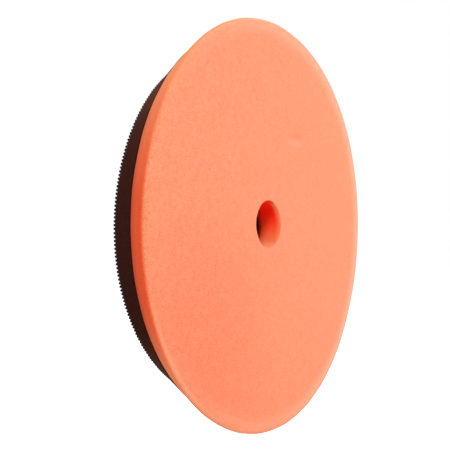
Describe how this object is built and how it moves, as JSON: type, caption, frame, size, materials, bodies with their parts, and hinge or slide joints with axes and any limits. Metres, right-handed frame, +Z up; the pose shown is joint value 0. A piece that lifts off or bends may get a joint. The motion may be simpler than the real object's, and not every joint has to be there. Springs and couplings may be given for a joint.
{
  "type": "foam polishing pad",
  "caption": "Tapered round foam polishing pad with a centre hole, on a darker foam layer backed with loop fabric for a hook-faced backing plate.",
  "frame": {"origin": "centre of the loop face, on the pad's axis, where the machine's backing plate sits", "axes": "+Y along the pad's axis out of the loop face, towards the machine; the polishing face looks along -Y; +Z up, X to the side, and the pad is the same all round"},
  "size_m": [0.165, 0.0242, 0.165],
  "materials": {
    "polishing_foam": "orange open-cell polyurethane foam, matte, fine cells",
    "interface_foam": "dark brown-black open-cell polyurethane foam, matte",
    "adhesive": "dark red-brown hot-melt adhesive film, satin",
    "ground_cloth": "black warp-knitted nylon ground",
    "loop_pile": "black nylon loop pile with a soft sheen"
  },
  "bodies": {
    "root": {"polishing_foam": "polishing_foam", "foam_bond": "adhesive", "interface_foam": "interface_foam", "backing_bond": "adhesive", "loop_ground_cloth": "ground_cloth", "loop_pile": "loop_pile"}
  },
  "joints": []
}
